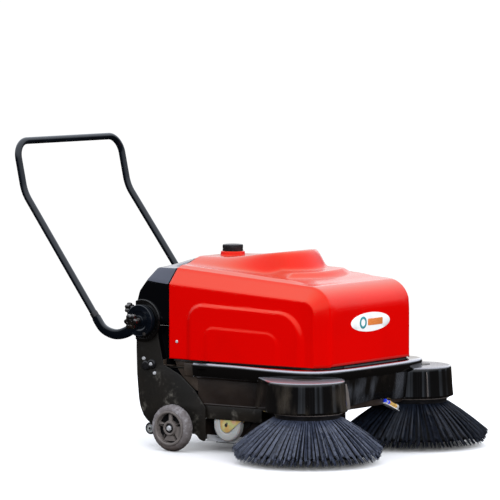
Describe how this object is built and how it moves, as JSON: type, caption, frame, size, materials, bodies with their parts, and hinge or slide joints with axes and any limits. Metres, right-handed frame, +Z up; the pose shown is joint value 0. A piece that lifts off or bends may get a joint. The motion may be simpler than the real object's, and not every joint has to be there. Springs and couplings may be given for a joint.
{
  "type": "walk-behind sweeper",
  "caption": "Battery walk-behind floor sweeper: red lifting hood on a black chassis, round front side brushes, hidden roller brush, slide-out dust hopper and folding push handle.",
  "frame": {"origin": "on the floor, below the centre of the machine's overall box", "axes": "+X forward (the way it sweeps), +Y to the operator's left, +Z up"},
  "size_m": [1.5255, 1.146, 1.0462],
  "materials": {
    "hood_red": "glossy moulded red",
    "gloss_black": "piano black gloss",
    "satin_black": "satin black paint on sheet steel",
    "tube_black": "black powder coat",
    "knob_black": "fine matt black",
    "dark_steel": "dull dark steel",
    "zinc_plate": "bright zinc plate",
    "yellow_zinc_plate": "yellow passivated zinc",
    "brass_metal": "turned brass",
    "tyre_grey": "scuffed grey rubber",
    "rim_grey": "moulded dark grey",
    "nylon_white": "off-white nylon",
    "bristle_blue": "blue-black nylon bristle",
    "filter_white": "pleated paper",
    "belt_rubber": "matt black rubber"
  },
  "bodies": {
    "chassis": {"main_deck": "dark_steel", "side_plate_right": "satin_black", "side_plate_left": "satin_black", "side_box_right": "satin_black", "side_box_left": "satin_black", "brush_chamber": "dark_steel", "front_bumper": "gloss_black", "brush_shroud_right": "gloss_black", "brush_shroud_left": "gloss_black", "rear_cover": "gloss_black", "pivot_plate_right": "satin_black", "pivot_plate_left": "satin_black", "hood_hinge_rod": "zinc_plate", "axle_bolt_right": "zinc_plate", "axle_bolt_left": "zinc_plate", "caster_bracket_right": "yellow_zinc_plate", "caster_bracket_left": "yellow_zinc_plate", "side_motor_right": "dark_steel", "side_motor_left": "dark_steel", "main_motor": "dark_steel", "roller_bearing_right": "dark_steel", "roller_bearing_left": "dark_steel", "drive_belt": "belt_rubber", "filter_panel": "filter_white", "battery": "knob_black", "spray_nozzle": "brass_metal", "nozzle_bracket": "zinc_plate", "spray_pump": "knob_black", "skirt_strip_right": "zinc_plate", "skirt_strip_left": "zinc_plate"},
    "hood": {"hood": "hood_red", "hood_screw_right": "zinc_plate", "hood_screw_left": "zinc_plate", "water_tank": "hood_red"},
    "filler_cap": {"filler_cap": "knob_black"},
    "handle": {"handle_tube": "tube_black", "handle_arm_right": "tube_black", "handle_arm_left": "tube_black"},
    "roller": {"roller_core": "dark_steel", "roller_bristles": "bristle_blue", "roller_pulley": "dark_steel"},
    "motor_pulley": {"motor_pulley": "dark_steel"},
    "hopper": {"dust_hopper": "satin_black"},
    "power_switch": {"power_switch": "knob_black"},
    "pivot_knob_right": {"pivot_knob_right": "knob_black"},
    "cover_knob_right": {"cover_knob_right": "knob_black"},
    "rear_wheel_right": {"rear_tyre_right": "tyre_grey", "rear_rim_right": "rim_grey"},
    "caster_wheel_right": {"caster_wheel_right": "nylon_white"},
    "side_brush_right": {"brush_plate_right": "knob_black", "brush_bristles_right": "bristle_blue"},
    "hopper_wheel_right": {"hopper_wheel_right": "nylon_white"},
    "pivot_knob_left": {"pivot_knob_left": "knob_black"},
    "cover_knob_left": {"cover_knob_left": "knob_black"},
    "rear_wheel_left": {"rear_tyre_left": "tyre_grey", "rear_rim_left": "rim_grey"},
    "caster_wheel_left": {"caster_wheel_left": "nylon_white"},
    "side_brush_left": {"brush_plate_left": "knob_black", "brush_bristles_left": "bristle_blue"},
    "hopper_wheel_left": {"hopper_wheel_left": "nylon_white"}
  },
  "joints": [
    {"name": "hood_lift", "type": "hinge", "parent": "chassis", "child": "hood", "pos_m": [0.54425, 0, 0.3055], "axis": [0, 1, 0], "range_deg": [0, 60]},
    {"name": "cap_turn", "type": "hinge", "parent": "hood", "child": "filler_cap", "pos_m": [-0.02925, 0, 0.676], "axis": [0, 0, 1], "range_deg": [0, 540]},
    {"name": "handle_fold", "type": "hinge", "parent": "chassis", "child": "handle", "pos_m": [-0.20125, 0, 0.4355], "axis": [0, 1, 0], "range_deg": [-25, 80]},
    {"name": "pivot_knob_turn_right", "type": "hinge", "parent": "handle", "child": "pivot_knob_right", "pos_m": [-0.20125, -0.35, 0.4355], "axis": [0, 1, 0], "range_deg": [0, 720]},
    {"name": "cover_knob_turn_right", "type": "hinge", "parent": "chassis", "child": "cover_knob_right", "pos_m": [-0.28425, -0.253, 0.471], "axis": [1, 0, 0], "range_deg": [0, 720]},
    {"name": "rear_wheel_roll_right", "type": "hinge", "parent": "chassis", "child": "rear_wheel_right", "pos_m": [-0.04425, -0.329, 0.08], "axis": [0, 1, 0], "continuous": true},
    {"name": "caster_wheel_roll_right", "type": "hinge", "parent": "chassis", "child": "caster_wheel_right", "pos_m": [0.13475, -0.249, 0.0945], "axis": [0, 1, 0], "continuous": true},
    {"name": "side_brush_spin_right", "type": "hinge", "parent": "chassis", "child": "side_brush_right", "pos_m": [0.51275, -0.323, 0.16], "axis": [0, 0, 1], "continuous": true},
    {"name": "pivot_knob_turn_left", "type": "hinge", "parent": "handle", "child": "pivot_knob_left", "pos_m": [-0.20125, 0.35, 0.4355], "axis": [0, 1, 0], "range_deg": [0, 720]},
    {"name": "cover_knob_turn_left", "type": "hinge", "parent": "chassis", "child": "cover_knob_left", "pos_m": [-0.28425, 0.253, 0.471], "axis": [1, 0, 0], "range_deg": [0, 720]},
    {"name": "rear_wheel_roll_left", "type": "hinge", "parent": "chassis", "child": "rear_wheel_left", "pos_m": [-0.04425, 0.329, 0.08], "axis": [0, 1, 0], "continuous": true},
    {"name": "caster_wheel_roll_left", "type": "hinge", "parent": "chassis", "child": "caster_wheel_left", "pos_m": [0.13475, 0.249, 0.0945], "axis": [0, 1, 0], "continuous": true},
    {"name": "side_brush_spin_left", "type": "hinge", "parent": "chassis", "child": "side_brush_left", "pos_m": [0.51275, 0.323, 0.16], "axis": [0, 0, 1], "continuous": true},
    {"name": "roller_spin", "type": "hinge", "parent": "chassis", "child": "roller", "pos_m": [0.17125, 0, 0.118], "axis": [0, 1, 0], "continuous": true},
    {"name": "motor_spin", "type": "hinge", "parent": "chassis", "child": "motor_pulley", "pos_m": [0.10575, -0.217, 0.352], "axis": [0, 1, 0], "continuous": true},
    {"name": "hopper_slide", "type": "slide", "parent": "chassis", "child": "hopper", "axis": [-1, 0, 0], "range_m": [0, 0.35]},
    {"name": "hopper_wheel_roll_right", "type": "hinge", "parent": "hopper", "child": "hopper_wheel_right", "pos_m": [-0.23225, -0.2, 0.055], "axis": [0, 1, 0], "continuous": true},
    {"name": "hopper_wheel_roll_left", "type": "hinge", "parent": "hopper", "child": "hopper_wheel_left", "pos_m": [-0.23225, 0.2, 0.055], "axis": [0, 1, 0], "continuous": true},
    {"name": "switch_rock", "type": "hinge", "parent": "chassis", "child": "power_switch", "pos_m": [-0.23575, 0.12, 0.468], "axis": [0, 1, 0], "range_deg": [-8, 8]}
  ],
  "couplings": [
    {"joint": "motor_spin", "follows": "roller_spin", "ratio": 1.8}
  ]
}
